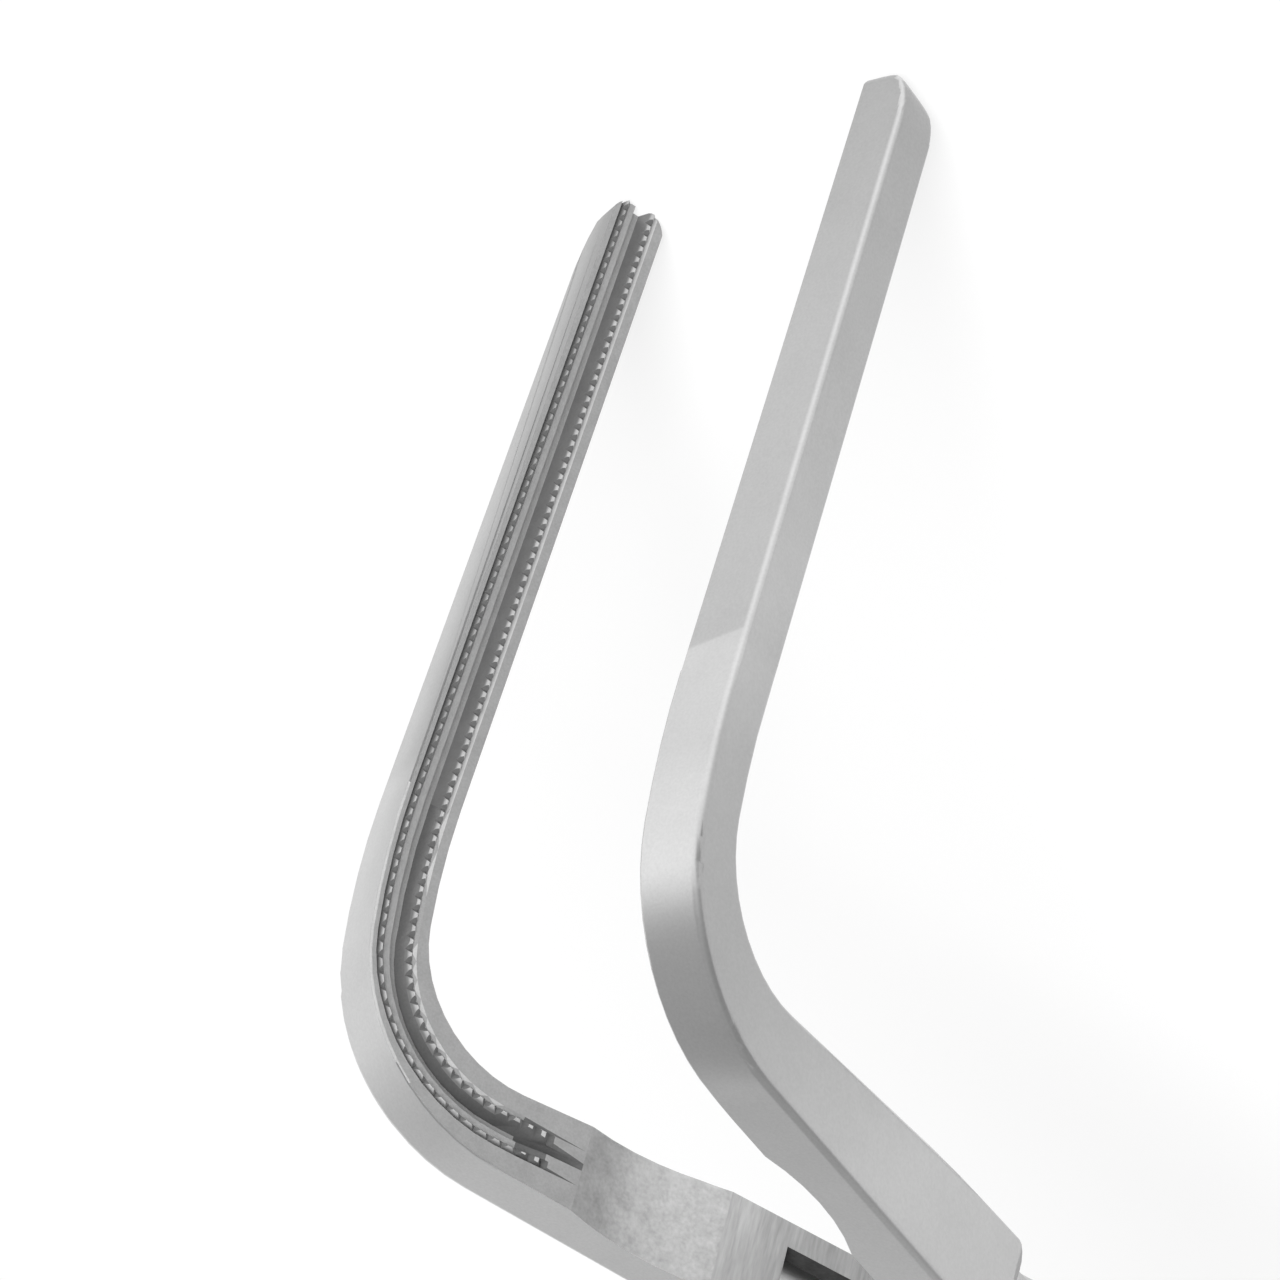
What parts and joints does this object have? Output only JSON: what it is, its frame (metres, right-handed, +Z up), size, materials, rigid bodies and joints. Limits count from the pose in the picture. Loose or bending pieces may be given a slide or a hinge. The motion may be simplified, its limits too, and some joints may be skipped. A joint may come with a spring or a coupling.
{
  "type": "ring-handled bulldog clamp",
  "caption": "Ring-handled vascular clamp with long toothed jaws bent square to the handles, a box lock, finger rings and a ratchet.",
  "frame": {"origin": "on the surface that the clamp rests on, under the middle of its bounding box", "axes": "+X forward to the bend of the jaws, +Z up as the clamp rests on its jaw tips and the backs of its finger rings, Y across the opening arms"},
  "size_m": [0.1188, 0.0828, 0.0352],
  "materials": {
    "box_arm_steel": "satin ground stainless steel",
    "passing_arm_steel": "satin ground stainless steel",
    "pin_steel": "satin ground stainless steel"
  },
  "bodies": {
    "box_side": {"box_arm": "box_arm_steel", "pivot_pin": "pin_steel"},
    "passing_side": {"passing_arm": "passing_arm_steel"}
  },
  "joints": [
    {"name": "box_lock", "type": "hinge", "parent": "box_side", "child": "passing_side", "pos_m": [0.02326, 0, 0.02731], "axis": [0.2847, 0, -0.9586], "range_deg": [-25.2, 20]}
  ]
}
